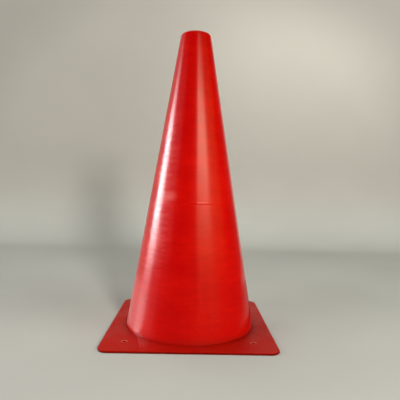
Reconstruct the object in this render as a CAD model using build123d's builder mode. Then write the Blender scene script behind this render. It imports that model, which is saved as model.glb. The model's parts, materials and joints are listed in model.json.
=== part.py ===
from build123d import *
import os
from math import atan, cos

# Sports marker cone made of two mouldings: a hollow cone with a flange at its
# foot, and a square base that drops over the cone and rests on that flange.
# Millimetres. +Z is up, and the origin is on the cone's axis at floor level.

# The cone
CONE_HEIGHT = 380.0
FOOT_DIAMETER = 167.0  # outside of the wall at floor level
WALL = 1.8  # measured square to the slanting wall
POLE_DIAMETER = 25.0  # pole or flag stick that goes into the top
POLE_CLEARANCE = 0.5  # around the pole
RIM_WIDTH = 6.4  # from the pole hole to the line of the wall, at the top
TOP_THICKNESS = 3.0
TOP_ROUNDING = 4.0
PARTING_HEIGHT = 163.0  # line left where two parts of the mould meet
PARTING_WIDTH = 0.9
PARTING_PROUD = 0.2

# The flange at the cone's foot, with lugs that stop the base from turning
FLANGE_WIDTH = 6.0
FLANGE_THICKNESS = 1.2
LUG_REACH = 4.0
LUG_WIDTH = 14.0
LUG_ROUNDING = 1.5

# The base
BASE_MARGIN = 12.0  # from the flange to the side of the base
BASE_WEB = 1.5  # plate left above the flange
BASE_CORNER = 11.0
BASE_EDGE_ROUNDING = 0.8
CONE_HOLE_ROUNDING = 0.4
PEG_HOLE_DIAMETER = 5.5
PEG_HOLE_GAP = 8.8  # from a lug's pocket to the edge of the peg hole beyond it
PEG_HOLE_ROUNDING = 0.9
SEAT_CLEARANCE = 0.3  # around the cone, the flange and its lugs

# Each corner of the base has one lug and one peg hole on its diagonal
CORNERS = 4
CORNER_ANGLE = 45.0

# Worked out from the sizes above
FOOT_RADIUS = FOOT_DIAMETER / 2
POLE_HOLE_RADIUS = POLE_DIAMETER / 2 + POLE_CLEARANCE
TOP_RADIUS = POLE_HOLE_RADIUS + RIM_WIDTH
TOP_UNDERSIDE = CONE_HEIGHT - TOP_THICKNESS
TAPER = (FOOT_RADIUS - TOP_RADIUS) / CONE_HEIGHT
WALL_ACROSS = WALL / cos(atan(TAPER))
PARTING_LOW = PARTING_HEIGHT - PARTING_WIDTH / 2
PARTING_HIGH = PARTING_HEIGHT + PARTING_WIDTH / 2
FLANGE_RADIUS = FOOT_RADIUS + FLANGE_WIDTH
BASE_SIDE = 2 * (FLANGE_RADIUS + BASE_MARGIN)
BASE_THICKNESS = FLANGE_THICKNESS + BASE_WEB
PEG_HOLE_RADIUS = PEG_HOLE_DIAMETER / 2
POCKET_REACH = FLANGE_RADIUS + LUG_REACH + SEAT_CLEARANCE
PEG_CIRCLE_RADIUS = POCKET_REACH + PEG_HOLE_GAP + PEG_HOLE_RADIUS


def outer_radius(height):
    """Outside of the cone's wall at a height above the floor."""
    return FOOT_RADIUS - TAPER * height


def inner_radius(height):
    """Inside of the cone's wall at a height above the floor."""
    return outer_radius(height) - WALL_ACROSS


def flange_outline(clearance):
    """The round flange and its lugs seen from above, grown by a clearance."""
    with BuildSketch() as outline:
        Circle(FLANGE_RADIUS + clearance)
        with PolarLocations(FLANGE_RADIUS, CORNERS, start_angle=CORNER_ANGLE):
            RectangleRounded(
                2 * (LUG_REACH + clearance),
                LUG_WIDTH + 2 * clearance,
                min(LUG_ROUNDING, LUG_REACH / 2),
            )
    return outline.sketch


# The hollow cone: a wall that carries the mould's parting line, a top that is
# rounded over towards the pole hole, and the flange that the base rests on
with BuildPart() as cone_shell:
    with BuildSketch(Plane.XZ) as wall_profile:
        with BuildLine():
            Polyline(
                (inner_radius(0), 0),
                (outer_radius(0), 0),
                (outer_radius(PARTING_LOW), PARTING_LOW),
                (outer_radius(PARTING_HEIGHT) + PARTING_PROUD, PARTING_HEIGHT),
                (outer_radius(PARTING_HIGH), PARTING_HIGH),
                (TOP_RADIUS, CONE_HEIGHT),
                (POLE_HOLE_RADIUS, CONE_HEIGHT),
                (POLE_HOLE_RADIUS, TOP_UNDERSIDE),
                (inner_radius(TOP_UNDERSIDE), TOP_UNDERSIDE),
                close=True,
            )
        make_face()
        top_corner = wall_profile.vertices().group_by(Axis.Y)[-1].sort_by(Axis.X)[-1]
        fillet(top_corner, min(TOP_ROUNDING, RIM_WIDTH))
    revolve(axis=Axis.Z)
    with BuildSketch():
        add(flange_outline(clearance=0))
        Circle(inner_radius(0), mode=Mode.SUBTRACT)
    extrude(amount=FLANGE_THICKNESS)

# The square base: a plate with a hole for the cone, a peg hole near each
# corner, and a recess underneath for the flange and its lugs
with BuildPart() as base_plate:
    with BuildSketch():
        RectangleRounded(BASE_SIDE, BASE_SIDE, BASE_CORNER)
    extrude(amount=BASE_THICKNESS)
    fillet(base_plate.faces().sort_by(Axis.Z)[-1].edges(), BASE_EDGE_ROUNDING)
    Hole(outer_radius(FLANGE_THICKNESS) + SEAT_CLEARANCE)
    fillet(base_plate.edges(Select.LAST).group_by(Axis.Z)[-1], CONE_HOLE_ROUNDING)
    with PolarLocations(PEG_CIRCLE_RADIUS, CORNERS, start_angle=CORNER_ANGLE):
        Hole(PEG_HOLE_RADIUS)
    fillet(base_plate.edges(Select.LAST).group_by(Axis.Z)[-1], PEG_HOLE_ROUNDING)
    recess = flange_outline(clearance=SEAT_CLEARANCE)
    extrude(recess, amount=FLANGE_THICKNESS, mode=Mode.SUBTRACT)

cone_shell.part.label = "cone_shell"
base_plate.part.label = "base_plate"

os.makedirs("parts", exist_ok=True)
export_step(cone_shell.part, "parts/cone_shell.step")
export_step(base_plate.part, "parts/base_plate.step")
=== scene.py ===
import json
import math
from types import SimpleNamespace

import bmesh
import bpy
from mathutils import Matrix, Vector, noise


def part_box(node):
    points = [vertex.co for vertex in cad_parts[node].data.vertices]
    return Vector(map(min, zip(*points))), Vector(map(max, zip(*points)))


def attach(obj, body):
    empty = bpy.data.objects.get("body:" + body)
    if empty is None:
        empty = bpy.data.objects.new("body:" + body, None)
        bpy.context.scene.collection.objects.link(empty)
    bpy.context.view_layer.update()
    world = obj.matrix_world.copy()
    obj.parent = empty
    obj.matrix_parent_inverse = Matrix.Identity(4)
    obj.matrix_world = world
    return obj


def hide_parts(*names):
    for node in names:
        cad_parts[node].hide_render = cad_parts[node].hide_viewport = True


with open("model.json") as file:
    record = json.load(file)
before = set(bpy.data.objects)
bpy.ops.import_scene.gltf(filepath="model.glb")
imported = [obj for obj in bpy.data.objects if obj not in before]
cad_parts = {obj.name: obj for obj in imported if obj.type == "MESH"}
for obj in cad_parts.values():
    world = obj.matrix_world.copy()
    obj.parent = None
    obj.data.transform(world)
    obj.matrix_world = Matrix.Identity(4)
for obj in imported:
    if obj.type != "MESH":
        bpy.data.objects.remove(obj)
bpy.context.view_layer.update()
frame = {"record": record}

# Sizes in metres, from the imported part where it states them
MM = 0.001
ORIGIN = (0.0, 0.0, 0.0)
mounts = {mount["name"]: mount["dims"] for mount in frame["record"]["mounts"]}
CONE_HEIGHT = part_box("cone_shell")[1].z
POLE_HOLE_RADIUS = mounts["pole_hole"]["r_mm"] * MM
TOP_THICKNESS = mounts["pole_hole"]["length_mm"] * MM
BASE_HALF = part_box("base_plate")[1].x
BASE_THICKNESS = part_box("base_plate")[1].z
PEG_HALF_SPACING = mounts["peg_holes"]["spacing_x_mm"] * MM / 2
PEG_HOLE_RADIUS = mounts["peg_holes"]["hole_r_mm"] * MM

# The cone's wall and the flange at its foot
FOOT_RADIUS = 83.5 * MM
TOP_RADIUS = 19.4 * MM
TAPER = (FOOT_RADIUS - TOP_RADIUS) / CONE_HEIGHT
WALL_ACROSS = 1.825 * MM
TOP_ROUNDING = 4.0 * MM
LIP_ROUNDING = 0.6 * MM
FLANGE_RADIUS = 89.5 * MM
FLANGE_THICKNESS = 1.2 * MM
FLANGE_ROUNDING = 0.25 * MM
LUG_REACH = 4.0 * MM
LUG_HALF_WIDTH = 7.0 * MM
LUG_SIDE = 0.3 * MM

# The mould's parting line, which was trimmed by hand all round but for a stretch at the front right
PARTING_HEIGHT = 163.0 * MM
PARTING_HALF_WIDTH = 0.45 * MM
PARTING_PROUD = 0.14 * MM
PARTING_MIDDLE = math.radians(-70)
PARTING_SPREAD = math.radians(25)
PARTING_TRIMMED = 0.25

# Unevenness of the moulded wall: turning marks left by the mould, and slow waves
TURNING_DEPTH = 0.022 * MM
TURNING_ALONG = 34.0
TURNING_UP = 210.0
WAVE_DEPTH = 0.10 * MM
WAVE_SCALE = 13.0
CALM_ENDS = 8.0 * MM

# The base
BASE_CORNER = 11.0 * MM
BASE_EDGE_ROUNDING = 0.8 * MM
BASE_FOOT_ROUNDING = 0.4 * MM
CONE_HOLE_RADIUS = 83.6 * MM
CONE_HOLE_ROUNDING = 0.4 * MM
PEG_RIM_WIDTH = 1.3 * MM
PEG_RIM_PROUD = 0.3 * MM
SEAT_CLEARANCE = 0.3 * MM

# How finely the meshes are divided. The peg blocks are squares of cells that hold the peg holes,
# a support strip keeps the flat plate flat beside a rounding, and the ring shares place the rings
# between the peg blocks and the edge.
CONE_SEGMENTS = 240
CONE_SPACING = 1.6 * MM
CONE_ARC_STEPS = 8
BASE_ARC_STEPS = 5
BASE_SIDE_STEPS = 9
CORNER_STEPS = 8
CORNERS = 4
PEG_BLOCK_HALF = 6.0 * MM
SUPPORT_STRIP = 0.6 * MM
TOP_RING_SHARES = (0.3, 0.65)
UNDER_RING_SHARES = (0.4, 0.8)
SHARP_EDGE = math.radians(40)

# Colours, linear
WHITE = (1.0, 1.0, 1.0)
BLACK = (0.0, 0.0, 0.0)
CONE_RED_DEEP = (0.535, 0.0008, 0.0008)
CONE_RED_LIGHT = (0.68, 0.0030, 0.0010)
CONE_RED_SCUFFED = (0.62, 0.012, 0.008)
# Painted sheen, for a smudge and for a strip beside the handled side
CONE_PAINTED_SHEEN = (0.76, 0.085, 0.085)
BASE_RED_DEEP = (0.40, 0.003, 0.001)
BASE_RED_LIGHT = (0.50, 0.007, 0.002)
# Painted shade, for the cone's foot, the base's cut edge and the seam round the cone
SHADE_RED = (0.14, 0.001, 0.001)
# Painted highlight on the peg hole rims
BASE_RIM_HIGHLIGHT = (0.80, 0.16, 0.12)
BASE_GLOSS_TINT = (1.0, 0.62, 0.32)
STAGE_FLOOR = (0.395, 0.40, 0.36)
STAGE_WALL = (0.345, 0.327, 0.286)
STAGE_BLOTCH = (0.24, 0.23, 0.205)
BACKGROUND = (0.42, 0.40, 0.345)
ROOM = (0.03, 0.03, 0.03)
WARM_LIGHT = (1.0, 0.95, 0.30)
WARM_GLOSS = (1.0, 0.9, 0.78)

# Grain of the finishes: how often a pattern changes in a metre along X, Y and Z
RING_GRAIN = (32.0, 32.0, 230.0)
RIPPLE_GRAIN = (40.0, 40.0, 260.0)
CLOUD_GRAIN = (14.0, 14.0, 30.0)
FLECK_GRAIN = (150.0, 150.0, 300.0)
DENT_GRAIN = (90.0, 90.0, 380.0)
SCRATCH_GRAIN = (700.0, 700.0, 9.0)
SCRATCH_PATCH_GRAIN = (22.0, 22.0, 22.0)
SCRATCH_LEAN = (0.15, 0.55, 0.0)
PIT_GRAIN = 110.0
BASE_CLOUD_GRAIN = (30.0, 30.0, 30.0)
BASE_SKIN_GRAIN = (900.0, 900.0, 900.0)
STAGE_GRAIN = (4.0, 4.0, 4.0)

# The range that most values of a noise lie in
NOISE_LOW = 0.3
NOISE_HIGH = 0.7

# Ranges of a pattern's values over which marks come up
CLOUD_RANGE = (0.35, 0.70)
RING_RANGE = (0.44, 0.56)
DENT_RANGE = (0.50, 0.70)
SCRATCH_RANGE = (0.70, 0.76)
SCRATCH_PATCH_RANGE = (0.50, 0.62)
SMUDGE_RANGE = (0.2, 0.6)
PIT_EDGE_RANGE = (0.10, 0.05)
PIT_CHOICE_RANGE = (0.95, 0.96)

# Shares of the patterns in the cone's mottled red, where dents are darker
CLOUD_SHARE = 0.50
RING_SHARE = 0.25
FLECK_SHARE = 0.25
DENT_SHARE = 0.25

# Wear and painted light on the cone: the side that has been handled and the painted sheen beside it, as
# directions from the axis with the cosines that bound them, then the heights where wear, sheen and the
# painted shade at the foot begin and are whole
HANDLED_SIDE = (-0.766, -0.643, 0.0)
HANDLED_COSINES = (0.78, 0.96)
SHEEN_SIDE = (-0.669, -0.743, 0.0)
SHEEN_COSINES = (0.968, 1.0)
SHEEN_RAGGED = 0.010
SHEEN_SHARE = 0.36
SHEEN_LEAST = 0.3
HANDLED_FROM_BELOW = (50.0 * MM, 120.0 * MM)
HANDLED_FROM_ABOVE = (310.0 * MM, 230.0 * MM)
FOOT_WEAR = (12.0 * MM, 2.0 * MM)
FOOT_SHADE = (10.0 * MM, 3.0 * MM)
FOOT_SHADE_SHARE = 0.28

# A smudge just above the parting line, to the left of the front: rougher than the rest, and paler with
# painted sheen in its colour
SMUDGE_PLACE = (-30.0 * MM, -46.0 * MM, 171.0 * MM)
SMUDGE_REACH = (16.0 * MM, 16.0 * MM, 9.5 * MM)
SMUDGE_SHEEN_SHARE = 0.95
SMUDGE_LEAST = 0.4

# Roughness of the cone: clean plastic, what rings, smudge, scratches and foot wear add, and the most
CLEAN_ROUGHNESS = (0.11, 0.14)
RING_ROUGHNESS = (0.03, 0.14)
SMUDGE_ROUGHNESS = 0.08
SCRATCH_ROUGHNESS = 0.05
FOOT_ROUGHNESS = 0.06
MOST_ROUGHNESS = 0.265

# Gloss of the cone, with a softer coat over it, and its fine relief
CONE_SPECULAR = 0.2
COAT_WEIGHT = 0.35
COAT_IOR = 1.4
COAT_ROUGHNESS = 0.30
CONE_RELIEF = 0.1 * MM
CONE_RELIEF_STRENGTH = 0.6
FLECK_RELIEF = 2.0

# Painted light on the base: painted shade on its cut edge and in the seam round the cone, and a painted
# highlight on its peg hole rims
EDGE_SHADE_REACH = 2 * BASE_CORNER / 3
EDGE_SHADE_HEIGHTS = (0.95 * BASE_THICKNESS, 0.7 * BASE_THICKNESS)
EDGE_SHADE_SHARE = 0.8
SEAM_SHADE_WIDTH = 9.0 * MM
SEAM_SHADE_SHARE = 0.32
RIM_HIGHLIGHT_WIDTH = 0.6 * MM
RIM_HIGHLIGHT_HEIGHTS = (0.9 * BASE_THICKNESS, BASE_THICKNESS)
RIM_HIGHLIGHT_SHARE = 0.7

# Gloss and fine relief of the base
BASE_ROUGHNESS = (0.38, 0.55)
BASE_SPECULAR = 0.12
BASE_RELIEF = 0.2 * MM
BASE_RELIEF_STRENGTH = 0.2

# The camera, as fitted to the photograph's 400 by 400 frame
CAMERA_PLACE = Vector((0.0003, -0.5391, 0.1846))
CAMERA_YAW = math.radians(1.035)
CAMERA_PITCH = math.radians(2.073)
CAMERA_ROLL = math.radians(1.348)
CAMERA_LENS = 36.69
CAMERA_SENSOR = 36.0
MIDDLE = Vector((0.0, 0.0, CONE_HEIGHT / 2))

# The stage's reach and bend, and how far from the cone it fades into the background
STAGE_REACH = 1.7
STAGE_BEND_START = 0.62
STAGE_BEND = 0.25
BEND_STEPS = 24
STAGE_WARMS_UP_TO = 0.2
STAGE_BLOTCH_SHARE = 0.12
STAGE_FADE_START = 1.15
STAGE_FADE_END = 1.65
STAGE_FRONT_FADE = (-0.95, -0.45)

# Edges of the floor and wall that show in the gloss
GLOSS_FLOOR_FRONT = -0.12
GLOSS_FLOOR_BACK = 0.33
GLOSS_FLOOR_LEFT_END = -0.08
GLOSS_FLOOR_RIGHT_END = 0.75
GLOSS_WALL_END = 0.2

# The dark cards: a ring from left to right round the front, in degrees, and two under the floor
CARD_FROM = -95
CARD_TO = 139
CARD_STEP = 2
CARD_RADIUS = 2.3
CARD_HEIGHT = 4.0
CARD_DROP = 0.004

# The stretch of a window's height over which the tint at its foot fades
WINDOW_TINT_FADE = (-0.1, 0.4)


def outer_radius(height):
    """Outside of the cone's wall at a height."""
    return FOOT_RADIUS - TAPER * height


def inner_radius(height):
    """Inside of the cone's wall at a height."""
    return outer_radius(height) - WALL_ACROSS


def smooth_step(value, low, high):
    """0 below low, 1 above high, and an eased ramp between them."""
    share = min(max((value - low) / (high - low), 0.0), 1.0)
    return share * share * (3.0 - 2.0 * share)


def mix(first, second, share):
    """The value a share of the way from the first to the second."""
    return first + (second - first) * share


def quarter_turn(steps):
    """Angles from 0 to a right angle."""
    return [math.pi / 2 * step / steps for step in range(steps + 1)]


def rounded_outline(corners, arc_steps, spacing):
    """Points of a closed outline through corners (x, y, rounding), with arcs at the corners and
    the straight runs divided so that no step is longer than the spacing."""
    outline = []
    for index, (x, y, rounding) in enumerate(corners):
        here = Vector((x, y))
        back = (Vector(corners[index - 1][:2]) - here).normalized()
        onward = (Vector(corners[(index + 1) % len(corners)][:2]) - here).normalized()
        if rounding == 0.0:
            outline.append(here)
            continue
        half_turn = back.angle(onward) / 2
        centre = here + (back + onward).normalized() * rounding / math.sin(half_turn)
        start = here + back * rounding / math.tan(half_turn) - centre
        finish = here + onward * rounding / math.tan(half_turn) - centre
        for step in range(arc_steps + 1):
            swing = start.angle_signed(finish) * step / arc_steps
            outline.append(centre + Matrix.Rotation(-swing, 2) @ start)
    divided = []
    for index, here in enumerate(outline):
        onward = outline[(index + 1) % len(outline)]
        steps = max(1, math.ceil((onward - here).length / spacing))
        divided += [mix(here, onward, step / steps) for step in range(steps)]
    return divided


def finish_mesh(name, points, faces):
    """A smooth-shaded object from points and faces, with its hard edges kept sharp."""
    mesh = bpy.data.meshes.new(name)
    mesh.from_pydata(points, [], faces)
    cleaner = bmesh.new()
    cleaner.from_mesh(mesh)
    bmesh.ops.recalc_face_normals(cleaner, faces=cleaner.faces)
    cleaner.to_mesh(mesh)
    cleaner.free()
    mesh.shade_smooth()
    mesh.set_sharp_from_angle(angle=SHARP_EDGE)
    piece = bpy.data.objects.new(name, mesh)
    bpy.context.scene.collection.objects.link(piece)
    return piece


def ring_faces(ring_count, ring_size, left_out=()):
    """Quads between neighbouring rings of points, closed both ways, without the cells left out."""
    faces = []
    for ring in range(ring_count):
        above = (ring + 1) % ring_count
        for step in range(ring_size):
            beside = (step + 1) % ring_size
            if (ring, step) not in left_out:
                faces.append((
                    ring * ring_size + step,
                    ring * ring_size + beside,
                    above * ring_size + beside,
                    above * ring_size + step,
                ))
    return faces


def lug_share(angle, clearance=0.0):
    """1 on a lug of the flange, 0 between the lugs, with steep sides."""
    off_diagonal = abs(angle % (math.pi / 2) - math.pi / 4)
    across = off_diagonal * FLANGE_RADIUS
    edge = LUG_HALF_WIDTH + clearance
    return 1.0 - smooth_step(across, edge - LUG_SIDE, edge + LUG_SIDE)


def unevenness(x, y, z):
    """How far the wall's outside stands in or out at a point, fading at its foot and top."""
    turning = noise.noise((x * TURNING_ALONG, y * TURNING_ALONG, z * TURNING_UP))
    wave = noise.noise((x * WAVE_SCALE, y * WAVE_SCALE, z * WAVE_SCALE))
    calm = smooth_step(z, FLANGE_THICKNESS, CALM_ENDS)
    calm *= 1.0 - smooth_step(z, CONE_HEIGHT - 2 * CALM_ENDS, CONE_HEIGHT - TOP_ROUNDING)
    return calm * (TURNING_DEPTH * turning + WAVE_DEPTH * wave)


def parting_share(angle):
    """How much of the parting line's height is left at an angle, after trimming by hand."""
    off_middle = abs((angle - PARTING_MIDDLE + math.pi) % math.tau - math.pi)
    return mix(1.0, PARTING_TRIMMED, smooth_step(off_middle, PARTING_SPREAD, 2 * PARTING_SPREAD))


def cone_section():
    """Points (radius, height) of the cone's section: up its outside and down its inside."""
    top_underside = CONE_HEIGHT - TOP_THICKNESS
    parting_low = PARTING_HEIGHT - PARTING_HALF_WIDTH
    parting_high = PARTING_HEIGHT + PARTING_HALF_WIDTH
    corners = [
        (outer_radius(FLANGE_THICKNESS), FLANGE_THICKNESS, 0.0),
        (outer_radius(parting_low), parting_low, 0.0),
        (outer_radius(PARTING_HEIGHT) + PARTING_PROUD, PARTING_HEIGHT, 0.0),
        (outer_radius(parting_high), parting_high, 0.0),
        (TOP_RADIUS, CONE_HEIGHT, TOP_ROUNDING),
        (POLE_HOLE_RADIUS, CONE_HEIGHT, LIP_ROUNDING),
        (POLE_HOLE_RADIUS, top_underside, LIP_ROUNDING),
        (inner_radius(top_underside), top_underside, LIP_ROUNDING),
        (inner_radius(0.0), 0.0, LIP_ROUNDING),
        (FLANGE_RADIUS, 0.0, FLANGE_ROUNDING),
        (FLANGE_RADIUS, FLANGE_THICKNESS, FLANGE_ROUNDING),
    ]
    return rounded_outline(corners, CONE_ARC_STEPS, CONE_SPACING)


def cone_angles():
    """Angles round the cone, evenly spaced, with more at the sides of the lugs."""
    lug_angle = LUG_HALF_WIDTH / FLANGE_RADIUS
    side_angle = LUG_SIDE / FLANGE_RADIUS
    angles = {math.tau * step / CONE_SEGMENTS for step in range(CONE_SEGMENTS)}
    for corner in range(CORNERS):
        diagonal = math.pi / 4 + corner * math.pi / 2
        for edge in (lug_angle - side_angle, lug_angle, lug_angle + side_angle):
            angles |= {diagonal - edge, diagonal + edge}
    return sorted(angles)


def make_cone():
    """The hollow cone, turned from its section, with lugs on its flange."""
    section = cone_section()
    angles = cone_angles()
    lug_start = mix(FOOT_RADIUS, FLANGE_RADIUS, 0.5)
    points = []
    for radius, height in section:
        on_outside = radius > inner_radius(height) + WALL_ACROSS / 2 and height > FLANGE_THICKNESS
        at_parting = abs(height - PARTING_HEIGHT) < PARTING_HALF_WIDTH / 2
        lug_reach = LUG_REACH * smooth_step(radius, lug_start, FLANGE_RADIUS)
        for angle in angles:
            x, y = math.cos(angle), math.sin(angle)
            reach = radius + lug_reach * lug_share(angle)
            if at_parting and on_outside:
                reach -= PARTING_PROUD * (1.0 - parting_share(angle))
            if on_outside:
                reach += unevenness(reach * x, reach * y, height)
            points.append((reach * x, reach * y, height))
    return finish_mesh("cone", points, ring_faces(len(section), len(angles)))


def half_side():
    """Distances of points along half a side of the base, with more beside a lug's pocket."""
    pocket_ray = BASE_HALF * math.tan(math.pi / 4 - LUG_HALF_WIDTH / FLANGE_RADIUS)
    straight_end = BASE_HALF - BASE_CORNER
    along = [straight_end * step / BASE_SIDE_STEPS for step in range(BASE_SIDE_STEPS)]
    along += [pocket_ray - 2 * LUG_SIDE, pocket_ray, pocket_ray + 2 * LUG_SIDE]
    return sorted(along)


def base_outline(inset):
    """Points round the rounded square of the base, moved in from its edge by an inset."""
    along = half_side()
    straight_end = BASE_HALF - BASE_CORNER
    quarter = [Vector((BASE_HALF - inset, y)) for y in along]
    for angle in quarter_turn(CORNER_STEPS):
        spoke = Vector((math.cos(angle), math.sin(angle))) * (BASE_CORNER - inset)
        quarter.append(Vector((straight_end, straight_end)) + spoke)
    quarter += [Vector((x, BASE_HALF - inset)) for x in reversed(along[1:])]
    turns = [Matrix.Rotation(math.pi / 2 * corner, 2) for corner in range(CORNERS)]
    return [turn @ point for turn in turns for point in quarter]


def base_rings():
    """Rings of points round the base, each with its height: over its edge, across its top, down
    through the cone's hole and the flange's recess, and out along its underside. Also the rings
    where the peg blocks start, in the top and in the underside."""
    edge = base_outline(0.0)
    angles = [math.atan2(point.y, point.x) for point in edge]
    spokes = [Vector((math.cos(angle), math.sin(angle))) for angle in angles]
    diagonal = len(half_side()) + CORNER_STEPS // 2
    peg_distance = PEG_HALF_SPACING * math.sqrt(2)
    block = [
        peg_distance + PEG_BLOCK_HALF * (1 - 2 * step / CORNER_STEPS)
        for step in range(CORNER_STEPS + 1)
    ]

    def circle(radius):
        """A round ring."""
        return [spoke * radius for spoke in spokes]

    def between(inside, outside, reach):
        """A ring that crosses the diagonal at a distance from the axis."""
        near, far = inside[diagonal].length, outside[diagonal].length
        share = (reach - near) / (far - near)
        return [mix(a, b, share) for a, b in zip(inside, outside)]

    rings = []
    for angle in quarter_turn(BASE_ARC_STEPS):
        inset = BASE_EDGE_ROUNDING * (1 - math.cos(angle))
        height = BASE_THICKNESS - BASE_EDGE_ROUNDING * (1 - math.sin(angle))
        rings.append((base_outline(inset), height))

    outside = base_outline(BASE_EDGE_ROUNDING + SUPPORT_STRIP)
    inside = circle(CONE_HOLE_RADIUS + CONE_HOLE_ROUNDING + SUPPORT_STRIP)
    rings.append((outside, BASE_THICKNESS))
    for share in TOP_RING_SHARES:
        reach = mix(outside[diagonal].length, block[0], share)
        rings.append((between(inside, outside, reach), BASE_THICKNESS))
    top_block = len(rings)
    rings += [(between(inside, outside, reach), BASE_THICKNESS) for reach in block]
    reach = mix(inside[diagonal].length, block[-1], 0.5)
    rings.append((between(inside, outside, reach), BASE_THICKNESS))
    rings.append((inside, BASE_THICKNESS))

    for angle in quarter_turn(BASE_ARC_STEPS):
        radius = CONE_HOLE_RADIUS + CONE_HOLE_ROUNDING * (1 - math.sin(angle))
        height = BASE_THICKNESS - CONE_HOLE_ROUNDING * (1 - math.cos(angle))
        rings.append((circle(radius), height))
    recess = [
        spoke * (FLANGE_RADIUS + SEAT_CLEARANCE + LUG_REACH * lug_share(angle, SEAT_CLEARANCE))
        for spoke, angle in zip(spokes, angles)
    ]
    rings.append((circle(CONE_HOLE_RADIUS), FLANGE_THICKNESS))
    rings.append((recess, FLANGE_THICKNESS))
    rings.append((recess, 0.0))

    under_edge = base_outline(BASE_FOOT_ROUNDING)
    low_block = len(rings)
    rings += [(between(recess, under_edge, reach), 0.0) for reach in reversed(block)]
    for share in UNDER_RING_SHARES:
        reach = mix(block[0], under_edge[diagonal].length, share)
        rings.append((between(recess, under_edge, reach), 0.0))
    rings.append((under_edge, 0.0))
    rings.append((edge, BASE_FOOT_ROUNDING))
    return rings, top_block, low_block


def peg_hole_section():
    """Points (radius, height) of a peg hole: over its raised rim and down its bore."""
    section = [(PEG_HOLE_RADIUS + PEG_RIM_WIDTH + SUPPORT_STRIP, BASE_THICKNESS)]
    for angle in quarter_turn(2 * BASE_ARC_STEPS):
        radius = PEG_HOLE_RADIUS + PEG_RIM_WIDTH * (1 + math.cos(2 * angle)) / 2
        section.append((radius, BASE_THICKNESS + PEG_RIM_PROUD * math.sin(2 * angle)))
    section.append((PEG_HOLE_RADIUS, 0.0))
    return section


def block_rim(size, first, outer_ring, inner_ring):
    """Indices of the points round a peg block, from its first step along its outer ring and back
    along its inner ring. Each ring has as many points as the size says."""
    last = first + CORNER_STEPS
    way = 1 if inner_ring > outer_ring else -1
    rim = [outer_ring * size + step for step in range(first, last)]
    rim += [ring * size + last for ring in range(outer_ring, inner_ring, way)]
    rim += [inner_ring * size + step for step in range(last, first, -1)]
    rim += [ring * size + first for ring in range(inner_ring, outer_ring, -way)]
    return rim


def make_base():
    """The square base: a plate with the cone's hole, the flange's recess and four peg holes."""
    rings, top_block, low_block = base_rings()
    size = len(rings[0][0])
    points = [(point.x, point.y, height) for ring, height in rings for point in ring]
    left_out = set()
    hole_faces = []
    for corner in range(CORNERS):
        first = corner * size // CORNERS + len(half_side())
        for step in range(first, first + CORNER_STEPS):
            for cell in range(CORNER_STEPS):
                left_out |= {(top_block + cell, step), (low_block + cell, step)}
        upper = block_rim(size, first, top_block, top_block + CORNER_STEPS)
        lower = block_rim(size, first, low_block + CORNER_STEPS, low_block)
        turn = Matrix.Rotation(math.pi / 2 * corner, 2)
        centre = turn @ Vector((PEG_HALF_SPACING, PEG_HALF_SPACING))
        bearings = [(Vector(points[index][:2]) - centre).normalized() for index in upper]
        loops = [upper]
        for radius, height in peg_hole_section():
            loops.append(list(range(len(points), len(points) + len(bearings))))
            for bearing in bearings:
                place = centre + bearing * radius
                points.append((place.x, place.y, height))
        loops.append(lower)
        for above, below in zip(loops, loops[1:]):
            for step in range(len(above)):
                beside = (step + 1) % len(above)
                hole_faces.append((above[step], above[beside], below[beside], below[step]))
    faces = ring_faces(len(rings), size, left_out) + hole_faces
    return finish_mesh("base", points, faces)


def add_node(tree, kind, settings=None, **inputs):
    """A node with its settings and inputs; an input may be a value or another node's output."""
    node = tree.nodes.new("ShaderNode" + kind)
    for name, value in (settings or {}).items():
        setattr(node, name, value)
    for name, value in inputs.items():
        socket = node.inputs[int(name[1:])] if name[0] == "_" else node.inputs[name]
        if isinstance(value, bpy.types.NodeSocket):
            tree.links.new(value, socket)
        else:
            socket.default_value = value
    return node


def calculate(tree, operation, first, second=0.0):
    """One sum on values or outputs."""
    return add_node(tree, "Math", {"operation": operation}, _0=first, _1=second).outputs[0]


def vector_sum(tree, operation, first, second=ORIGIN):
    """One sum on vectors that gives a vector."""
    node = add_node(tree, "VectorMath", {"operation": operation}, _0=first, _1=second)
    return node.outputs["Vector"]


def vector_measure(tree, operation, first, second=ORIGIN):
    """One sum on vectors that gives a value."""
    node = add_node(tree, "VectorMath", {"operation": operation}, _0=first, _1=second)
    return node.outputs["Value"]


def parts_of(tree, vector):
    """The X, Y and Z of a vector."""
    return add_node(tree, "SeparateXYZ", None, Vector=vector).outputs


def noise_value(tree, where, grain, detail=2.0, roughness=0.5):
    """Cloudy values from 0 to 1, mostly near a half, with a grain along each axis."""
    stretched = vector_sum(tree, "MULTIPLY", where, grain)
    node = add_node(
        tree, "TexNoise", None, Vector=stretched, Scale=1.0, Detail=detail, Roughness=roughness,
    )
    return node.outputs["Fac"]


def ramp(tree, value, low, high, to_low=0.0, to_high=1.0):
    """A value carried from one range to another, eased at both ends."""
    node = add_node(tree, "MapRange", {"interpolation_type": "SMOOTHSTEP"}, Value=value)
    node.inputs["From Min"].default_value = low
    node.inputs["From Max"].default_value = high
    node.inputs["To Min"].default_value = to_low
    node.inputs["To Max"].default_value = to_high
    return node.outputs[0]


def spread(tree, noise_output, to_low, to_high):
    """A noise's usual range carried to another."""
    return ramp(tree, noise_output, NOISE_LOW, NOISE_HIGH, to_low, to_high)


def mix_colours(tree, share, first, second):
    """A colour between two others."""
    node = add_node(tree, "Mix", {"data_type": "RGBA"}, Factor=share)
    for socket, value in ((node.inputs[6], first), (node.inputs[7], second)):
        if isinstance(value, bpy.types.NodeSocket):
            tree.links.new(value, socket)
        else:
            socket.default_value = (*value, 1.0)
    return node.outputs[2]


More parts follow.
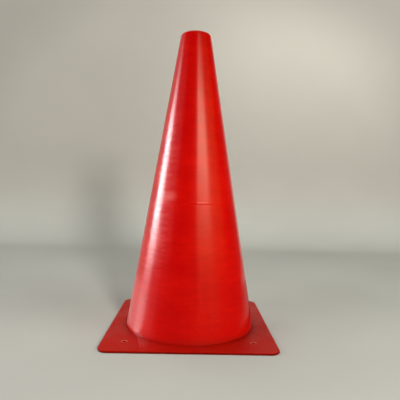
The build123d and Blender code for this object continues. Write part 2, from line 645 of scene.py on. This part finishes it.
def new_material(name):
    """An empty material, its node tree, its shader and the piece's own coordinates."""
    material = bpy.data.materials.new(name)
    material.use_nodes = True
    tree = material.node_tree
    shader = tree.nodes["Principled BSDF"]
    where = add_node(tree, "TexCoord").outputs["Object"]
    return material, tree, shader, where


def add_bump(tree, shader, height, strength, distance):
    """Fine relief on a surface, from a height."""
    bump = add_node(tree, "Bump", None, Height=height, Strength=strength, Distance=distance)
    tree.links.new(bump.outputs["Normal"], shader.inputs["Normal"])


def spot_mask(tree, where, centre, reach):
    """1 at a place, easing to 0 at a reach given along each axis."""
    offset = vector_sum(tree, "SUBTRACT", where, centre)
    distance = vector_measure(tree, "LENGTH", vector_sum(tree, "DIVIDE", offset, reach))
    return ramp(tree, distance, 1.0, 0.1)


def scratches(tree, where):
    """Sparse thin lines, leaning from the upright, that come and go in patches."""
    turned = add_node(
        tree, "VectorRotate", {"rotation_type": "EULER_XYZ"}, Vector=where, Rotation=SCRATCH_LEAN,
    )
    lines = noise_value(tree, turned.outputs[0], SCRATCH_GRAIN, 1.0)
    patches = noise_value(tree, where, SCRATCH_PATCH_GRAIN)
    shown = ramp(tree, patches, *SCRATCH_PATCH_RANGE)
    return calculate(tree, "MULTIPLY", ramp(tree, lines, *SCRATCH_RANGE), shown)


def pits(tree, where):
    """A few specks, each a small dip."""
    cells = add_node(tree, "TexVoronoi", None, Vector=where, Scale=PIT_GRAIN)
    chosen = add_node(tree, "SeparateColor", None, Color=cells.outputs["Color"]).outputs[0]
    speck = ramp(tree, cells.outputs["Distance"], *PIT_EDGE_RANGE)
    return calculate(tree, "MULTIPLY", speck, ramp(tree, chosen, *PIT_CHOICE_RANGE))


def from_axis(tree, where):
    """The part of a place that is square to the cone's axis."""
    return vector_sum(tree, "MULTIPLY", where, (1.0, 1.0, 0.0))


def facing_share(tree, where, side):
    """The cosine of the angle round the axis between a place and a side of the cone."""
    outward = vector_sum(tree, "NORMALIZE", from_axis(tree, where))
    return vector_measure(tree, "DOT_PRODUCT", outward, side)


def cone_marks(tree, where):
    """The noises, the masks of wear, and the masks of painted sheen and painted shade that the cone's
    colour, gloss and relief share.
    """
    height = parts_of(tree, where)["Z"]
    rings = noise_value(tree, where, RING_GRAIN)
    ripples = noise_value(tree, where, RIPPLE_GRAIN, 1.0)
    in_reach = calculate(
        tree, "MULTIPLY", ramp(tree, height, *HANDLED_FROM_BELOW), ramp(tree, height, *HANDLED_FROM_ABOVE),
    )
    handled = ramp(tree, facing_share(tree, where, HANDLED_SIDE), *HANDLED_COSINES)
    ragged = calculate(
        tree, "ADD", facing_share(tree, where, SHEEN_SIDE),
        spread(tree, rings, -SHEEN_RAGGED, SHEEN_RAGGED),
    )
    painted_sheen = calculate(tree, "MULTIPLY", in_reach, ramp(tree, ragged, *SHEEN_COSINES))
    smudge_and_sheen = spot_mask(tree, where, SMUDGE_PLACE, SMUDGE_REACH)
    return SimpleNamespace(
        rings=rings,
        ripples=ripples,
        cloud=noise_value(tree, where, CLOUD_GRAIN, 3.0),
        flecks=noise_value(tree, where, FLECK_GRAIN, 3.0),
        dents=noise_value(tree, where, DENT_GRAIN),
        handled=calculate(tree, "MULTIPLY", in_reach, handled),
        painted_sheen=calculate(tree, "MULTIPLY", painted_sheen, spread(tree, ripples, SHEEN_LEAST, 1.0)),
        smudge_and_sheen=calculate(
            tree, "MULTIPLY", smudge_and_sheen, ramp(tree, ripples, *SMUDGE_RANGE, SMUDGE_LEAST, 1.0),
        ),
        foot_wear=ramp(tree, height, *FOOT_WEAR),
        foot_shade=ramp(tree, height, *FOOT_SHADE, 0.0, FOOT_SHADE_SHARE),
        pits=pits(tree, where),
        scratches=scratches(tree, where),
    )


def cone_colour(tree, marks):
    """Mottled red, duller where the foot is scuffed, darkened by painted shade at the foot, and paler with
    painted sheen at a smudge and beside the handled side.
    """
    blend = calculate(
        tree, "ADD", spread(tree, marks.cloud, 0.0, CLOUD_SHARE),
        spread(tree, marks.rings, 0.0, RING_SHARE),
    )
    blend = calculate(tree, "ADD", blend, spread(tree, marks.flecks, 0.0, FLECK_SHARE))
    blend = calculate(tree, "SUBTRACT", blend, ramp(tree, marks.dents, *DENT_RANGE, 0.0, DENT_SHARE))
    colour = mix_colours(tree, blend, CONE_RED_DEEP, CONE_RED_LIGHT)
    scuffed = calculate(tree, "MULTIPLY", marks.foot_wear, marks.ripples)
    colour = mix_colours(tree, scuffed, colour, CONE_RED_SCUFFED)
    # Painted shade at the foot, where the cone meets the base
    colour = mix_colours(tree, marks.foot_shade, colour, SHADE_RED)
    # Painted sheen at the smudge and in the strip beside the handled side
    for mark, share in ((marks.smudge_and_sheen, SMUDGE_SHEEN_SHARE), (marks.painted_sheen, SHEEN_SHARE)):
        colour = mix_colours(tree, calculate(tree, "MULTIPLY", mark, share), colour, CONE_PAINTED_SHEEN)
    return colour


def cone_roughness(tree, marks):
    """Smooth plastic, brushed along the mould's rings and most of all where it has been handled."""
    brushed = calculate(
        tree, "MULTIPLY", ramp(tree, marks.rings, *RING_RANGE),
        ramp(tree, marks.handled, 0.0, 1.0, *RING_ROUGHNESS),
    )
    clean = ramp(tree, marks.cloud, *CLOUD_RANGE, *CLEAN_ROUGHNESS)
    rough = calculate(tree, "ADD", clean, brushed)
    for mark, added in (
        (marks.smudge_and_sheen, SMUDGE_ROUGHNESS),
        (marks.scratches, SCRATCH_ROUGHNESS),
        (marks.foot_wear, FOOT_ROUGHNESS),
    ):
        rough = calculate(tree, "ADD", rough, calculate(tree, "MULTIPLY", mark, added))
    return calculate(tree, "MINIMUM", rough, MOST_ROUGHNESS)


def cone_plastic():
    """Glossy moulded red: rings left by the mould, and one side scuffed where it has been handled."""
    material, tree, shader, where = new_material("cone_plastic")
    marks = cone_marks(tree, where)
    tree.links.new(cone_colour(tree, marks), shader.inputs["Base Color"])
    tree.links.new(cone_roughness(tree, marks), shader.inputs["Roughness"])
    shader.inputs["Specular IOR Level"].default_value = CONE_SPECULAR
    shader.inputs["Coat Weight"].default_value = COAT_WEIGHT
    shader.inputs["Coat IOR"].default_value = COAT_IOR
    shader.inputs["Coat Roughness"].default_value = COAT_ROUGHNESS
    relief = calculate(tree, "SUBTRACT", marks.ripples, marks.pits)
    relief = calculate(tree, "ADD", relief, calculate(tree, "MULTIPLY", marks.flecks, FLECK_RELIEF))
    add_bump(tree, shader, relief, CONE_RELIEF_STRENGTH, CONE_RELIEF)
    return material


def base_plastic():
    """Satin red of the thin base, with painted shade along its cut edge and in the seam round the cone,
    and a painted highlight on the rims round its peg holes.
    """
    material, tree, shader, where = new_material("base_plastic")
    height = parts_of(tree, where)["Z"]
    cloud = noise_value(tree, where, BASE_CLOUD_GRAIN, 4.0, 0.6)
    folded = vector_sum(tree, "ABSOLUTE", where)
    sides = parts_of(tree, folded)
    colour = mix_colours(tree, cloud, BASE_RED_DEEP, BASE_RED_LIGHT)

    # Painted shade on the base's cut edge, darker down its side
    outermost = calculate(tree, "MAXIMUM", sides["X"], sides["Y"])
    cut_edge = ramp(tree, outermost, BASE_HALF - EDGE_SHADE_REACH, BASE_HALF - BASE_EDGE_ROUNDING)
    low = ramp(tree, height, *EDGE_SHADE_HEIGHTS, 0.0, EDGE_SHADE_SHARE)
    colour = mix_colours(tree, calculate(tree, "MULTIPLY", cut_edge, low), colour, SHADE_RED)

    outward = vector_measure(tree, "LENGTH", from_axis(tree, where))
    # Painted shade in the seam round the cone
    seam_shade = ramp(tree, outward, FOOT_RADIUS + SEAM_SHADE_WIDTH, FOOT_RADIUS, 0.0, SEAM_SHADE_SHARE)
    colour = mix_colours(tree, seam_shade, colour, SHADE_RED)

    # Painted highlight on top of the raised rims round the peg holes
    hole = (PEG_HALF_SPACING, PEG_HALF_SPACING, BASE_THICKNESS)
    rim_edge = PEG_HOLE_RADIUS + PEG_RIM_WIDTH
    rim = ramp(tree, vector_measure(tree, "DISTANCE", folded, hole), rim_edge, rim_edge - RIM_HIGHLIGHT_WIDTH)
    on_top = ramp(tree, height, *RIM_HIGHLIGHT_HEIGHTS, 0.0, RIM_HIGHLIGHT_SHARE)
    colour = mix_colours(tree, calculate(tree, "MULTIPLY", rim, on_top), colour, BASE_RIM_HIGHLIGHT)

    tree.links.new(colour, shader.inputs["Base Color"])
    tree.links.new(spread(tree, cloud, *BASE_ROUGHNESS), shader.inputs["Roughness"])
    shader.inputs["Specular IOR Level"].default_value = BASE_SPECULAR
    shader.inputs["Specular Tint"].default_value = (*BASE_GLOSS_TINT, 1.0)
    skin = noise_value(tree, where, BASE_SKIN_GRAIN)
    add_bump(tree, shader, skin, BASE_RELIEF_STRENGTH, BASE_RELIEF)
    return material


def stage_paper():
    """Pale grey paper, a little warmer where it rises behind the cone, that fades into the
    background's tone towards its far edges."""
    material, tree, shader, where = new_material("stage_paper")
    place = parts_of(tree, where)
    cloud = noise_value(tree, where, STAGE_GRAIN, 3.0)
    colour = mix_colours(tree, ramp(tree, place["Z"], 0.0, STAGE_WARMS_UP_TO), STAGE_FLOOR, STAGE_WALL)
    colour = mix_colours(tree, spread(tree, cloud, 0.0, STAGE_BLOTCH_SHARE), colour, STAGE_BLOTCH)
    near = ramp(tree, vector_measure(tree, "LENGTH", where), STAGE_FADE_END, STAGE_FADE_START)
    shown = calculate(tree, "MULTIPLY", near, ramp(tree, place["Y"], *STAGE_FRONT_FADE))
    tree.links.new(mix_colours(tree, shown, BLACK, colour), shader.inputs["Base Color"])
    tree.links.new(ramp(tree, shown, 1.0, 0.0), shader.inputs["Emission Strength"])
    shader.inputs["Emission Color"].default_value = (*BACKGROUND, 1.0)
    shader.inputs["Roughness"].default_value = 1.0
    shader.inputs["Specular IOR Level"].default_value = 0.0
    return material


def dark_card():
    """Matt black card."""
    material, _, shader, _ = new_material("dark_card")
    shader.inputs["Base Color"].default_value = (*ROOM, 1.0)
    shader.inputs["Roughness"].default_value = 1.0
    shader.inputs["Specular IOR Level"].default_value = 0.0
    return material


def make_world():
    """A dim room round the stage, which shows to the camera and in the gloss as the pale background."""
    world = bpy.data.worlds.new("room")
    world.use_nodes = True
    tree = world.node_tree
    ray = add_node(tree, "LightPath").outputs
    seen = calculate(tree, "MAXIMUM", ray["Is Camera Ray"], ray["Is Glossy Ray"])
    seen = calculate(tree, "MAXIMUM", seen, ray["Is Transmission Ray"])
    tree.links.new(mix_colours(tree, seen, ROOM, BACKGROUND), tree.nodes["Background"].inputs["Color"])
    bpy.context.scene.world = world


def make_camera():
    """The camera where the photograph was taken from."""
    forward = Vector((
        math.sin(CAMERA_YAW) * math.cos(CAMERA_PITCH),
        math.cos(CAMERA_YAW) * math.cos(CAMERA_PITCH),
        -math.sin(CAMERA_PITCH),
    ))
    level = Vector((math.cos(CAMERA_YAW), -math.sin(CAMERA_YAW), 0.0))
    upright = level.cross(forward)
    right = math.cos(CAMERA_ROLL) * level + math.sin(CAMERA_ROLL) * upright
    up = math.cos(CAMERA_ROLL) * upright - math.sin(CAMERA_ROLL) * level
    camera = bpy.data.objects.new("camera", bpy.data.cameras.new("camera"))
    camera.data.sensor_width = CAMERA_SENSOR
    camera.data.lens = CAMERA_LENS
    turn = Matrix((right, up, -forward)).transposed().to_4x4()
    camera.matrix_world = Matrix.Translation(CAMERA_PLACE) @ turn
    bpy.context.scene.collection.objects.link(camera)
    bpy.context.scene.camera = camera


def make_sheet(name, points, material):
    """A sheet of the stage along a row of point pairs."""
    faces = [(row, row + 1, row + 3, row + 2) for row in range(0, len(points) - 2, 2)]
    sheet = finish_mesh(name, points, faces)
    sheet.data.materials.append(material)
    return sheet


def make_strip(name, profile, left, right, material):
    """A sheet of the stage between two sides, which follows a profile of (y, z) points."""
    points = [(x, y, z) for y, z in profile for x in (left, right)]
    return make_sheet(name, points, material)


def floor_profile(front, back, height=0.0):
    """Points (y, z) of a level strip."""
    return [(front, height), (back, height)]


def wall_profile():
    """Points (y, z) of the wall, from where it leaves the floor to its top edge."""
    profile = []
    for angle in quarter_turn(BEND_STEPS):
        y = STAGE_BEND_START + STAGE_BEND * math.sin(angle)
        profile.append((y, STAGE_BEND * (1 - math.cos(angle))))
    profile.append((STAGE_BEND_START + STAGE_BEND, STAGE_REACH))
    return profile


def make_cards():
    """Dark cards at the front and right, which show in the gloss alone and keep the red deep there."""
    card = dark_card()
    ring = []
    for degrees in range(CARD_FROM, CARD_TO + 1, CARD_STEP):
        turn = math.radians(degrees)
        for z in (-CARD_HEIGHT, CARD_HEIGHT):
            ring.append((CARD_RADIUS * math.sin(turn), -CARD_RADIUS * math.cos(turn), z))
    near = floor_profile(-STAGE_REACH, GLOSS_FLOOR_FRONT, -CARD_DROP)
    far = floor_profile(GLOSS_FLOOR_FRONT, STAGE_BEND_START, -CARD_DROP)
    for sheet in (
        make_sheet("card_round", ring, card),
        make_strip("card_front", near, -STAGE_REACH, STAGE_REACH, card),
        make_strip("card_right", far, GLOSS_FLOOR_LEFT_END, STAGE_REACH, card),
    ):
        sheet.visible_camera = False
        sheet.visible_diffuse = False
        sheet.visible_transmission = False
        sheet.visible_shadow = False


def make_stage():
    """A wide pale floor that sweeps up into a wall behind the cone, in sheets that show in the gloss
    and sheets that don't."""
    paper = stage_paper()
    wall = wall_profile()
    near = floor_profile(-STAGE_REACH, GLOSS_FLOOR_FRONT)
    far = floor_profile(GLOSS_FLOOR_FRONT, STAGE_BEND_START)
    beside = floor_profile(GLOSS_FLOOR_FRONT, GLOSS_FLOOR_BACK)
    behind = floor_profile(GLOSS_FLOOR_BACK, STAGE_BEND_START)
    shown = [
        make_strip("wall", wall, -STAGE_REACH, GLOSS_WALL_END, paper),
        make_strip("floor_left", far, -STAGE_REACH, GLOSS_FLOOR_LEFT_END, paper),
        make_strip("floor_behind", behind, GLOSS_FLOOR_LEFT_END, GLOSS_FLOOR_RIGHT_END, paper),
    ]
    hidden = [
        make_strip("wall_right", wall, GLOSS_WALL_END, STAGE_REACH, paper),
        make_strip("floor_right", beside, GLOSS_FLOOR_LEFT_END, STAGE_REACH, paper),
        make_strip("floor_far_right", behind, GLOSS_FLOOR_RIGHT_END, STAGE_REACH, paper),
        make_strip("floor_front", near, -STAGE_REACH, STAGE_REACH, paper),
    ]
    for sheet in hidden:
        sheet.visible_glossy = False
    return shown + hidden


def around(azimuth, elevation, distance):
    """A place round the cone's middle: azimuth 0 is the front, and it grows to the right."""
    turn, rise = math.radians(azimuth), math.radians(elevation)
    level = distance * math.cos(rise)
    return MIDDLE + Vector((
        level * math.sin(turn), -level * math.cos(turn), distance * math.sin(rise),
    ))


def beside_wall(azimuth, height, gap):
    """A place off the cone's wall at a height, and the point of the wall that it faces."""
    turn = math.radians(azimuth)
    out = Vector((math.sin(turn), -math.cos(turn), 0.0))
    on_wall = out * outer_radius(height) + Vector((0.0, 0.0, height))
    square = (out + Vector((0.0, 0.0, TAPER))).normalized()
    return on_wall + gap * square, on_wall


def make_lamp(name, place, target, size, radiance, colour=WHITE):
    """A soft rectangular lamp, its brightness given as it looks from the front, out of view."""
    width, height = size
    light = bpy.data.lights.new(name, "AREA")
    light.shape = "RECTANGLE"
    light.size = width
    light.size_y = height
    light.energy = radiance * math.pi * width * height
    light.color = colour
    lamp = bpy.data.objects.new(name, light)
    lamp.location = place
    lamp.rotation_mode = "QUATERNION"
    lamp.rotation_quaternion = (Vector(target) - Vector(place)).to_track_quat("-Z", "Y")
    lamp.visible_camera = False
    bpy.context.scene.collection.objects.link(lamp)
    return lamp


def make_fill(name, lit=None, **settings):
    """A lamp kept out of the gloss, which lights everything, or only the objects that are given;
    the rest still casts its shadow."""
    lamp = make_lamp(name, **settings)
    lamp.visible_glossy = False
    if lit is not None:
        receivers = bpy.data.collections.new("lit_by_" + name)
        for lit_object in lit:
            receivers.objects.link(lit_object)
        lamp.light_linking.receiver_collection = receivers


def graded(tree, value, stops):
    """A brightness that follows a value from 0 to 1 through a row of stops."""
    band = add_node(tree, "ValToRGB", None, Fac=value)
    while len(band.color_ramp.elements) < len(stops):
        band.color_ramp.elements.new(0.5)
    for element, (position, level) in zip(band.color_ramp.elements, stops):
        element.position = position
        element.color = (level, level, level, 1.0)
    return band.outputs["Color"]


def gloss_lamp(name, **settings):
    """A lamp that shows in the gloss alone: its light, node tree and emission, and how far across
    and up a point of it is."""
    lamp = make_lamp(name, **settings)
    lamp.visible_diffuse = False
    lamp.data.use_nodes = True
    tree = lamp.data.node_tree
    on_lamp = parts_of(tree, add_node(tree, "NewGeometry").outputs["Parametric"])
    return lamp.data, tree, tree.nodes["Emission"].inputs, on_lamp["X"], on_lamp["Y"]


def make_window(name, across, upward, low_tint=WHITE, **settings):
    """A lamp in the gloss, with its brightness graded across and upward and a tint at its foot."""
    _, tree, emission, right, up = gloss_lamp(name, **settings)
    strength = calculate(tree, "MULTIPLY", graded(tree, right, across), graded(tree, up, upward))
    tree.links.new(strength, emission["Strength"])
    tint = mix_colours(tree, ramp(tree, up, *WINDOW_TINT_FADE), low_tint, WHITE)
    tree.links.new(tint, emission["Color"])


def make_fan(name, corner, turning, **settings):
    """A lamp in the gloss, with its brightness graded by the angle, in right angles, about a corner
    at its near edge: corner 0 is where across starts, and 1 where it ends."""
    light, tree, emission, right, up = gloss_lamp(name, **settings)
    aside = calculate(tree, "ABSOLUTE", calculate(tree, "SUBTRACT", right, corner))
    aside = calculate(tree, "MULTIPLY", aside, light.size)
    away = calculate(tree, "MULTIPLY", up, light.size_y)
    turn = calculate(tree, "DIVIDE", calculate(tree, "ARCTAN2", away, aside), math.pi / 2)
    tree.links.new(graded(tree, turn, turning), emission["Strength"])


def make_gloss_lights():
    """The lamps that show in the gloss: tall windows at the left and right, and soft patches on the
    floor and on the wall."""
    make_window(
        "left_window", place=(-1.2, 0.165, 0.55), target=(0.0, 0.165, 0.55), size=(0.48, 1.06),
        radiance=26.0, colour=(1.0, 1.0, 1.04),
        across=((0.0, 0.6), (0.12, 1.0), (0.9, 1.0), (1.0, 0.5)),
        upward=(
            (0.0, 0.10), (0.10, 0.15), (0.16, 0.45), (0.22, 0.9), (0.4, 1.0),
            (0.6, 1.0), (0.72, 0.30), (0.84, 0.15), (1.0, 0.0),
        ),
    )
    make_window(
        "right_window", place=(1.35, -1.2, 0.80), target=(1.35, 0.0, 0.80), size=(2.2, 1.3),
        radiance=9.0, colour=(1.0, 0.88, 0.62), low_tint=(1.0, 0.95, 0.1),
        across=((0.0, 0.6), (0.05, 1.0), (0.34, 1.0), (0.48, 0.25), (0.6, 0.05), (1.0, 0.03)),
        upward=(
            (0.0, 0.0), (0.08, 0.03), (0.19, 0.14), (0.38, 0.60),
            (0.48, 1.0), (0.67, 1.0), (0.79, 0.45), (1.0, 0.05),
        ),
    )
    make_fan(
        "floor_window", place=(-0.475, 0.145, 0.006), target=(-0.475, 0.145, 1.0), size=(0.85, 0.40),
        radiance=3.1, corner=0.0,
        turning=(
            (0.0, 0.4), (0.03, 1.0), (0.19, 1.0), (0.30, 0.45), (0.39, 0.22), (0.60, 0.06), (0.83, 0.0),
        ),
    )
    make_fan(
        "floor_right_window", place=(0.545, 0.145, 0.006), target=(0.545, 0.145, 1.0), size=(0.85, 0.40),
        radiance=0.3, colour=WARM_GLOSS, corner=1.0,
        turning=((0.0, 0.0), (0.30, 0.05), (0.47, 0.45), (0.75, 1.0), (0.93, 0.7), (1.0, 0.6)),
    )
    make_window(
        "wall_window", place=(0.925, 0.86, 0.65), target=(0.925, 0.0, 0.65), size=(1.45, 1.3),
        radiance=0.28, colour=WARM_GLOSS,
        across=((0.0, 0.32), (0.17, 0.32), (0.59, 0.36), (0.71, 0.45), (0.79, 0.65), (0.93, 1.0)),
        upward=((0.0, 0.8), (0.6, 1.0), (1.0, 0.75)),
    )


def make_fill_lights(cone, base, stage):
    """Soft lamps round the scene. Those at the front and right are warmer on the cone."""
    make_fill("left_fill", place=around(-65, 20, 1.6), target=MIDDLE, size=(0.9, 0.9), radiance=5.8)
    front = {"place": around(21, 4, 1.7), "target": MIDDLE, "size": (0.4, 0.5), "radiance": 11.3}
    make_fill("front_fill", [base, *stage], colour=(1.0, 0.99, 0.97), **front)
    make_fill("front_warm_fill", [cone], colour=WARM_LIGHT, **front)
    right = {"place": around(65, 20, 1.6), "target": MIDDLE, "size": (0.9, 0.9), "radiance": 5.5}
    make_fill("right_fill", [base, *stage], colour=(1.0, 0.98, 0.94), **right)
    make_fill("right_warm_fill", [cone], colour=WARM_LIGHT, **right)
    make_fill(
        "back_fill", place=(-0.45, 0.45, 2.0), target=ORIGIN, size=(1.0, 0.8), radiance=5.5,
    )
    make_fill(
        "wall_fill", place=(0.42, 0.55, 0.66), target=(0.42, 0.87, 0.66), size=(0.7, 0.12),
        radiance=4.0, colour=(1.0, 1.0, 0.98),
    )
    make_fill(
        "foot_fill", [cone], place=(-0.32, -0.08, 0.03), target=(0.0, 0.0, 0.03), size=(0.2, 0.05),
        radiance=6.0,
    )
    glow_place, glow_target = beside_wall(azimuth=33, height=0.15, gap=0.07)
    make_fill(
        "right_glow", [cone], place=glow_place, target=glow_target, size=(0.03, 0.28),
        radiance=1.0, colour=WARM_LIGHT,
    )
    make_fill("rear_fill", [cone], place=(0.0, 0.65, 0.65), target=MIDDLE, size=(0.4, 0.4), radiance=6.0)
    make_fill(
        "wall_key", stage, place=around(20, 15, 1.8), target=MIDDLE, size=(0.26, 0.26),
        radiance=170.0, colour=(1.0, 0.99, 0.97),
    )


cone = make_cone()
cone.data.materials.append(cone_plastic())
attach(cone, "cone")
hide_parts("cone_shell")

base = make_base()
base.data.materials.append(base_plastic())
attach(base, "base")
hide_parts("base_plate")

make_camera()
stage = make_stage()
make_cards()
make_gloss_lights()
make_fill_lights(cone, base, stage)
make_world()
bpy.context.scene.view_settings.view_transform = "Standard"
